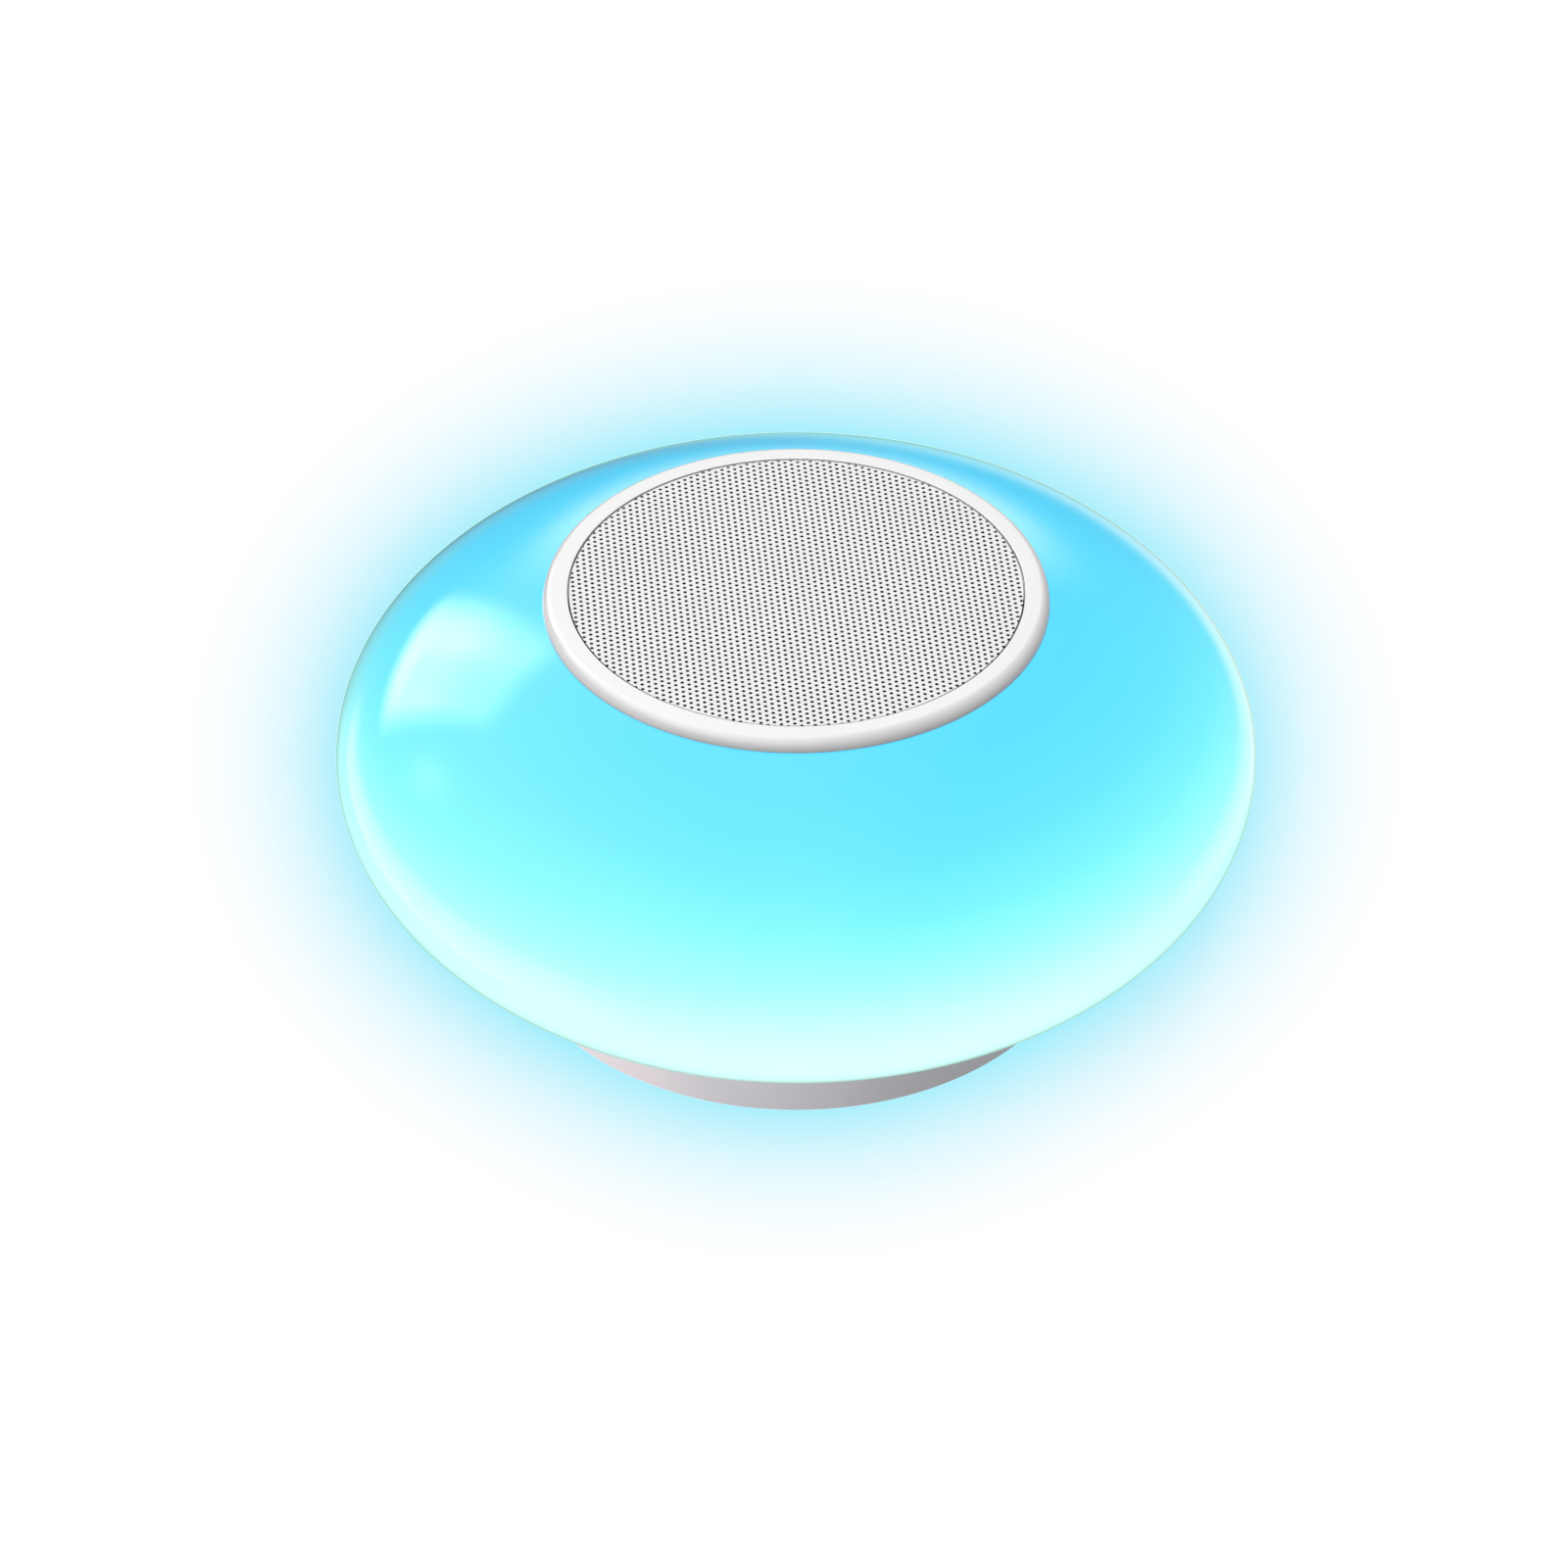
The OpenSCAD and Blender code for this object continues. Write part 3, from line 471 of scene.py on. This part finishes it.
def make_bezel():
    """Ring with a flat top and rounded shoulder, following the shade underneath."""
    edge_r = BEZEL_R - OUTER_EDGE_R
    profile = [(FLANGE_R, FLANGE_Z + 0.05), (NECK_R, FLANGE_Z + 0.05),
               (NECK_R, shade_top(46.6) + 0.5)]
    profile += [(r, shade_top(r) + 0.5) for r in (46.6, 47.2, 47.8, 48.4, 49.0, 49.5)]
    profile += [(r, shade_top(r) + 0.1) for r in (49.6, 50.0, edge_r)]
    profile += arc(edge_r, shade_top(BEZEL_R) + 0.27, OUTER_EDGE_R, -90, 0, steps=4)
    for k in range(25):
        angle = math.radians(90 * k / 24)
        profile.append((
            BEZEL_R - SHOULDER_R + SHOULDER_R * math.cos(angle) ** SHOULDER_POWER,
            TOP_Z - SHOULDER_DROP + SHOULDER_DROP * math.sin(angle) ** SHOULDER_POWER))
    profile.append((WELL_R - 0.09 + 0.34, TOP_Z))
    profile += arc(WELL_R + INNER_EDGE_R, TOP_Z - INNER_EDGE_R, INNER_EDGE_R, 90, 180, steps=5)
    profile += [(WELL_R, CLOTH_Z - 0.33), (LEDGE_R, CLOTH_Z - 0.33),
                (LEDGE_R, CLOTH_Z - 0.8), (NECK_BORE_R, CLOTH_Z - 0.8),
                (NECK_BORE_R, FLANGE_Z + 2), (FLANGE_R, FLANGE_Z + 2)]
    bezel = lathe("bezel_ring", profile, segments=256, sharp_deg=40)
    stand_in(bezel, "white_gloss", "bezel")


# ---------------------------------------------------------------- grille
SHEET = 0.14                                # thickness
PITCH = 1.5                                 # between hole centres
ROW = PITCH * math.sqrt(3) / 2
HEX_R = PITCH / math.sqrt(3)                # corner radius of the hexagon round each hole
HOLE_R = 0.80 / 2
SIDES = 8                                   # sides of each hole
HOLE_REACH = GRILLE_R + HOLE_R * 0.6        # holes centred beyond this are left out
BORDER = 0.5                                # hexagons stop this far inside the rim
FIELD_TURN = math.radians(34.6)             # turn of the hole field about Z
RIM_SEGMENTS = 360


def hole_centre(i, j):
    return (i + (0.5 if j % 2 else 0.0)) * PITCH, j * ROW


def has_hexagon(x, y):
    """Whether the cell centred here is whole, clear of the border."""
    return math.hypot(x, y) + HEX_R < GRILLE_R - BORDER


def nearest_hole(x, y):
    """Centre of the nearest cell and the distance to it."""
    best, best_square = None, math.inf
    middle_j = round(y / ROW)
    for j in range(middle_j - 1, middle_j + 2):
        middle_i = round(x / PITCH - (0.5 if j % 2 else 0.0))
        for i in range(middle_i - 1, middle_i + 2):
            centre = hole_centre(i, j)
            square = (centre[0] - x) ** 2 + (centre[1] - y) ** 2
            if square < best_square:
                best, best_square = centre, square
    return best, math.sqrt(best_square)


def stitch(hole, corners, angle_of):
    """Triangles between a hole and its hexagon, marching round both by angle."""
    def signed(angle):
        return (angle + math.pi) % TURN - math.pi

    ring = sorted(hole, key=angle_of)
    hexagon = sorted(corners, key=angle_of)
    start = angle_of(ring[0])
    first = min(range(6), key=lambda k: abs(signed(angle_of(hexagon[k]) - start)))
    hexagon = hexagon[first:] + hexagon[:first]
    hex_start = angle_of(hexagon[0])
    lead = signed(hex_start - start)
    ring_turns = [(angle_of(v) - start) % TURN for v in ring[1:]] + [TURN]
    hex_turns = [lead + (angle_of(v) - hex_start) % TURN for v in hexagon[1:]] + [lead + TURN]
    triangles = []
    a = b = 0
    while a < SIDES or b < 6:
        if b == 6 or (a < SIDES and ring_turns[a] <= hex_turns[b]):
            triangles.append((ring[a], hexagon[b % 6], ring[(a + 1) % SIDES]))
            a += 1
        else:
            triangles.append((ring[a % SIDES], hexagon[b], hexagon[(b + 1) % 6]))
            b += 1
    return triangles


def fill_band(points, open_edges, band_holes):
    """Triangulate between the rim and the ragged edge of the hexagons."""
    flat = [Vector((GRILLE_R * math.cos(TURN * k / RIM_SEGMENTS),
                    GRILLE_R * math.sin(TURN * k / RIM_SEGMENTS))) for k in range(RIM_SEGMENTS)]
    edges = [(k, (k + 1) % RIM_SEGMENTS) for k in range(RIM_SEGMENTS)]
    moved = {}
    for edge in open_edges:
        for vertex in edge:
            if vertex not in moved:
                moved[vertex] = len(flat)
                flat.append(Vector(points[vertex]))
        edges.append((moved[edge[0]], moved[edge[1]]))
    for hole in band_holes:
        first = len(flat)
        flat += [Vector(point) for point in hole]
        edges += [(first + k, first + (k + 1) % SIDES) for k in range(SIDES)]
    whole_hull, merge_distance = 0, 1e-5
    found, _, triangles, *_ = delaunay_2d_cdt(flat, edges, [], whole_hull, merge_distance)
    inside_hole = HOLE_R * math.cos(math.pi / SIDES) * 0.985
    for triangle in triangles:
        middle = sum((found[k] for k in triangle), Vector((0, 0))) / len(triangle)
        centre, distance = nearest_hole(middle.x, middle.y)
        in_hole = math.hypot(*centre) <= HOLE_REACH and distance < inside_hole
        beyond_rim = math.hypot(middle.x, middle.y) > GRILLE_R
        if not (has_hexagon(*centre) or in_hole or beyond_rim):
            yield [(found[k].x, found[k].y) for k in triangle]


def make_grille():
    """Punched sheet: whole hexagonal cells in the field, a triangulated band at the rim."""
    points, index, triangles = [], {}, []

    def vertex(x, y):
        """The point's number, shared by points that coincide."""
        key = (round(x * 4000), round(y * 4000))
        if key not in index:
            index[key] = len(points)
            points.append((x, y))
        return index[key]

    open_edges = {}         # hexagon sides with no neighbour, in the order they were met
    band_holes = []
    reach = int(GRILLE_R / ROW) + 2
    for j in range(-reach, reach + 1):
        for i in range(-reach - 2, reach + 3):
            cx, cy = hole_centre(i, j)
            if math.hypot(cx, cy) > HOLE_REACH:
                continue
            hole = [(cx + HOLE_R * math.cos(TURN * (k + 0.5) / SIDES),
                     cy + HOLE_R * math.sin(TURN * (k + 0.5) / SIDES)) for k in range(SIDES)]
            if not has_hexagon(cx, cy):
                band_holes.append(hole)
                continue
            ring = [vertex(*point) for point in hole]
            corners = [vertex(cx + HEX_R * math.sin(math.pi * k / 3),
                              cy + HEX_R * math.cos(math.pi * k / 3)) for k in range(5, -1, -1)]
            triangles += stitch(ring, corners, lambda v: math.atan2(
                points[v][1] - cy, points[v][0] - cx) % TURN)
            for start, end in zip(corners, corners[1:] + corners[:1]):
                if (end, start) in open_edges:
                    del open_edges[(end, start)]
                else:
                    open_edges[(start, end)] = True

    for triangle in fill_band(points, open_edges, band_holes):
        numbers = tuple(vertex(*point) for point in triangle)
        if len(set(numbers)) == 3:
            triangles.append(numbers)

    # wind every triangle counter-clockwise seen from above, dropping slivers
    top = []
    for a, b, c in triangles:
        (ax, ay), (bx, by), (cx, cy) = points[a], points[b], points[c]
        area = (bx - ax) * (cy - ay) - (cx - ax) * (by - ay)
        if abs(area) >= 1e-9:
            top.append((a, b, c) if area > 0 else (a, c, b))

    # lower face, and walls along every edge that only one triangle uses
    count = len(points)
    faces = top + [(a + count, c + count, b + count) for a, b, c in top]
    sides = dict.fromkeys(side for a, b, c in top for side in ((a, b), (b, c), (c, a)))
    faces += [(q, p, p + count, q + count) for p, q in sides if (q, p) not in sides]
    cos_turn, sin_turn = math.cos(FIELD_TURN), math.sin(FIELD_TURN)
    solid = [(x * cos_turn - y * sin_turn, x * sin_turn + y * cos_turn, z)
             for z in (GRILLE_TOP, GRILLE_TOP - SHEET) for x, y in points]
    stand_in(mesh_object("grille_sheet", solid, faces), "grille_white", "grille")


def make_cloth():
    """Disc under the whole sheet. It reaches on under the gap round the rim, where its black edge
    stands in for the gap's shade: a painted dark line round the border.
    """
    edge_r = GRILLE_R + 0.22
    profile = [(0.0, CLOTH_Z - 0.30), (edge_r, CLOTH_Z - 0.30), (edge_r, CLOTH_Z - 0.06),
               (edge_r - 0.10, CLOTH_Z - 0.01), (0.0, CLOTH_Z - 0.01)]
    cloth = lathe("cloth_disc", profile, segments=128, closed=False)
    stand_in(cloth, "black_cloth", "grille_cloth")


make_shade()
make_bezel()
make_grille()
make_cloth()


# ---------------------------------------------------------------- floor
def make_floor():
    m = Material("pale_floor")
    mottle = m.noise(scale=40.0, detail=3.0)
    position = m.node("ShaderNodeNewGeometry").outputs["Position"]
    distance = m.node("ShaderNodeVectorMath", {0: position}, operation="LENGTH").outputs["Value"]
    # the floor fades into the backdrop, and bounces less light than it shows
    far = m.step(distance, start=0.4, end=2.5)
    shown = m.mix(far, (0.93, 0.93, 0.93), (1.05, 1.05, 1.05))
    shown = m.mix(m.ray("Diffuse"), shown, (0.370, 0.352, 0.367))
    m.set(Base_Color=m.blend(mottle, (0.29, 0.29, 0.29), (0.31, 0.31, 0.31)),
          Roughness=0.9, Specular_IOR_Level=0.0, Emission_Color=shown, Emission_Strength=1.0)
    half = 8000.0
    corners = [(-half, -half, 0), (half, -half, 0), (half, half, 0), (-half, half, 0)]
    floor = mesh_object("floor", corners, [(0, 1, 2, 3)])
    floor.data.materials.append(m.material)
    floor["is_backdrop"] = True
    floor.visible_glossy = False        # mirrored surfaces look past it into the world below


make_floor()


# ---------------------------------------------------------------- world
def mirrored_studio(sky):
    """What glossy surfaces mirror. Angles are in degrees, and every edge is a pair:
    where the patch is nothing, then where it is full."""
    way = sky.node("ShaderNodeTexCoord").outputs["Generated"]
    x, y, z = sky.split(way)
    azimuth = sky.math("DEGREES", sky.math("ARCTAN2", x, sky.times(y, -1.0)))  # 0 front, + right
    elevation = sky.math("DEGREES", sky.math("ARCSINE", z))
    round_azimuth = sky.math("WRAP", azimuth, 360.0, 0.0)       # unbroken across the back

    def patch(heading, sides, heights=(), strengths=()):
        edges = [sky.step(heading, *edge) for edge in sides]
        edges += [sky.step(elevation, *edge) for edge in heights]
        return sky.times(*edges, *strengths)

    # high soft light, left and overhead
    left_gain = sky.fit(sky.step(x, start=-0.1, end=-0.6), scale=0.75, offset=1.45)
    high_light = sky.times(sky.step(z, start=0.05, end=0.75),
                           sky.step(x, start=0.45, end=-0.05), left_gain)

    # a tall window at the back left, uneven in brightness
    pane = sky.fit(sky.bell(elevation, middle=22.0, width=7.0), scale=1.4, offset=5.5)
    pane = sky.fit(sky.step(elevation, start=10.0, end=33.0), scale=-0.9, offset=pane)
    # bright spots: azimuth and its width, elevation and its width, gain
    for turn, turn_width, rise, rise_width, gain in (
            (-140.5, 6.0, 11.0, 3.0, 2.4),
            (-146.0, 2.6, 24.0, 11.0, 2.5),
            (-134.5, 2.0, 22.0, 8.0, 1.5)):
        spot = sky.times(sky.bell(azimuth, turn, turn_width),
                         sky.bell(elevation, rise, rise_width))
        pane = sky.fit(spot, scale=gain, offset=pane)
    window = patch(azimuth, sides=((-155.0, -148.5), (-126.5, -135.0)),
                   heights=((3.5, 10.0), (42.0, 35.5)), strengths=(pane,))
    spot_strength = 2.3
    lamp_spot = sky.times(sky.bell(azimuth, middle=-115.0, width=5.8),
                          sky.bell(elevation, middle=24.3, width=6.2), spot_strength)
    white = sky.add(sky.add(high_light, window), lamp_spot)

    # the pale table top; its edge lies lower at the back left and higher at the back right
    rear_left = patch(round_azimuth, sides=((173.0, 193.0), (217.0, 203.0)))
    rear_right = patch(round_azimuth, sides=((140.0, 160.0), (192.0, 174.0)))
    edge = sky.fit(rear_left, scale=13.0, offset=elevation)
    edge = sky.fit(rear_right, scale=-6.0, offset=edge)
    table = sky.step(edge, start=-9.0, end=-25.0)

    # a bright sweep on the left with a slanting end, a fainter one on the right
    slant = sky.add(elevation, sky.times(sky.add(azimuth, 135.0), 0.55))
    left_sweep = patch(azimuth, sides=((-146.0, -136.0), (-36.0, -60.0)),
                       heights=((-5.0, -14.0), (-52.0, -42.0)),
                       strengths=(sky.step(slant, start=-27.0, end=-17.0), 1.7))
    right_sweep = patch(azimuth, sides=((86.0, 118.0), (180.0, 150.0)),
                        heights=((-9.0, -17.0), (-40.0, -29.0)), strengths=(0.80,))
    backlit = patch(round_azimuth, sides=((148.0, 164.0), (222.0, 195.0)),
                    heights=((-5.0, -14.0), (-34.0, -20.0)), strengths=(0.17,))
    front_strength, table_red = 0.50, 0.32
    front = sky.times(sky.step(y, start=0.7, end=-0.7),
                      sky.step(elevation, start=-40.0, end=-66.0), front_strength)

    red = sky.add(sky.times(table, sky.add(front, table_red)),
                  sky.add(sky.add(left_sweep, right_sweep), backlit))
    channels = [sky.add(red, white)]
    # green, then blue: share of the table, the left sweep and the right sweep
    for table_share, left_share, right_share in ((0.70, 0.45, 0.15), (0.58, 0.45, 0.20)):
        tint = sky.fit(left_sweep, scale=left_share, offset=sky.times(right_sweep, right_share))
        tint = sky.fit(table, scale=table_share, offset=tint)
        channels.append(sky.fit(white, scale=1.08, offset=tint))
    return sky.node("ShaderNodeCombineXYZ", dict(enumerate(channels))).outputs[0]


def make_world():
    world = bpy.data.worlds.new("studio")
    scene.world = world
    world.use_nodes = True
    world.cycles.sampling_method = "NONE"
    sky = Nodes(world.node_tree)
    lighting, backdrop = (0.165, 0.162, 0.165), (1.05, 1.05, 1.05)
    tone = sky.mix(sky.ray("Glossy"), lighting, mirrored_studio(sky))
    tone = sky.mix(sky.ray("Camera"), tone, backdrop)
    sky.plug(world.node_tree.nodes["Background"].inputs["Color"], tone)


make_world()


# ---------------------------------------------------------------- lights
def soft_box(name, azimuth, elevation, distance, width, height, watts):
    """Area light aimed at the lamp. Azimuth runs from the front (-Y) towards +X."""
    turn, rise = math.radians(azimuth), math.radians(elevation)
    away = Vector((math.sin(turn) * math.cos(rise), -math.cos(turn) * math.cos(rise),
                   math.sin(rise)))
    light = bpy.data.lights.new(name, "AREA")
    light.shape = "RECTANGLE"
    light.size = width
    light.size_y = height
    light.energy = watts
    holder = bpy.data.objects.new(name, light)
    holder.location = Vector((0, 0, 0.05)) + away * distance
    holder.rotation_mode = "QUATERNION"
    holder.rotation_quaternion = (-away).to_track_quat("-Z", "Y")
    scene.collection.objects.link(holder)
    holder.visible_camera = False
    holder.visible_glossy = False
    return holder


soft_box("key_top", azimuth=-60, elevation=84, distance=1.4, width=0.8, height=0.8, watts=16.8)
soft_box("fill_soft", azimuth=-72, elevation=9, distance=1.0, width=0.5, height=0.25, watts=1.15)

# a low side light for the foot only, which the globe would otherwise leave flat
foot = bpy.data.collections.new("foot_light_group")
scene.collection.children.link(foot)
for node_name in ("base_housing", "power_button", "light_button", "volume_down_button",
                  "volume_up_button", "foot_ring", "bottom_cover"):
    foot.objects.link(frame["nodes"][node_name])
foot_light = soft_box("foot_light", azimuth=-58, elevation=9, distance=1.0,
                      width=0.5, height=0.25, watts=2.9)
foot_light.light_linking.receiver_collection = foot

# ---------------------------------------------------------------- camera
CAMERA_AT = (-0.02625, -10.8433, 8.2109)    # from the shade's middle, in shade radii
CAMERA_DOWN = 37.49                         # degrees below level

camera_data = bpy.data.cameras.new("camera")
camera = bpy.data.objects.new("camera", camera_data)
scene.collection.objects.link(camera)
camera_data.sensor_width = 36.0
camera_data.lens = 143.3925
camera_data.clip_start = 0.05
camera_data.clip_end = 60.0
x, y, z = (offset * SHADE_R for offset in CAMERA_AT)
camera.location = (x * MM, y * MM, (z + MID_Z) * MM)
camera.rotation_euler = (math.radians(90 - CAMERA_DOWN), 0, 0)
scene.camera = camera
scene.view_settings.view_transform = "Standard"
scene.view_settings.look = "None"
scene.view_settings.exposure = 0.0
scene.view_settings.gamma = 1.0

# ---------------------------------------------------------------- halo
# Painted glow: the lamp's cyan light on the pale background is painted in as a soft veil round
# the lamp, strongest at its outline.
HALO_REACH = 0.155                  # blur size, as a share of the frame's width
HALO_GAIN = 1.31
HALO_CUT = 0.02                     # taken off so that the painted glow ends
HALO_TAKES = (1.0, 0.23, 0.033)     # share of the painted glow taken from red, green and blue


def tag_lamp():
    """Mark every piece of the lamp in a render pass of its own."""
    lamp_pass = bpy.context.scene.view_layers[0].aovs.add()
    lamp_pass.name = "lamp"
    lamp_pass.type = "VALUE"
    for material in {slot.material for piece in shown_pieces()
                     for slot in piece.material_slots if slot.material}:
        tag = material.node_tree.nodes.new("ShaderNodeOutputAOV")
        tag.aov_name = "lamp"
        tag.inputs["Value"].default_value = 1.0


def make_halo():
    scene.use_nodes = True
    tree = scene.node_tree
    tree.nodes.clear()

    def add(kind, inputs, **properties):
        made = tree.nodes.new(kind)
        for key, value in properties.items():
            setattr(made, key, value)
        for key, value in inputs.items():
            if isinstance(value, bpy.types.NodeSocket):
                tree.links.new(value, made.inputs[key])
            else:
                made.inputs[key].default_value = value
        return made

    def calc(operation, a, b, clamp=False):
        return add("CompositorNodeMath", {0: a, 1: b},
                   operation=operation, use_clamp=clamp).outputs[0]

    def mix(kind, a, b):
        return add("CompositorNodeMixRGB", {0: 1.0, 1: a, 2: b}, blend_type=kind).outputs[0]

    layers = add("CompositorNodeRLayers", {})
    image = layers.outputs["Image"]
    mask = next(output for output in layers.outputs if output.identifier == "lamp")
    size = add("CompositorNodeRelativeToPixel", {"Image": image},
               data_type="VECTOR", reference_dimension="X")
    for axis in (0, 1):
        size.inputs[0].default_value[axis] = HALO_REACH
    reach = next(output for output in size.outputs if output.type == "VECTOR")
    # painted glow of the lamp's light: its outline blurred, then kept outside the lamp
    blurred = add("CompositorNodeBlur", {"Image": mask, "Size": reach},
                  filter_type="GAUSS").outputs[0]
    outside = calc("SUBTRACT", 1.0, mask, clamp=True)
    painted_glow = calc("SUBTRACT", calc("MULTIPLY", blurred, HALO_GAIN), HALO_CUT, clamp=True)
    painted_glow = calc("MULTIPLY", painted_glow, outside, clamp=True)
    taken = add("CompositorNodeCombineColor", {
        i: calc("MULTIPLY", painted_glow, share) for i, share in enumerate(HALO_TAKES)}).outputs[0]
    capped = mix("DARKEN", image, (1.0, 1.0, 1.0, 1.0))
    add("CompositorNodeComposite", {"Image": mix("SUBTRACT", capped, taken)})


tag_lamp()
make_halo()
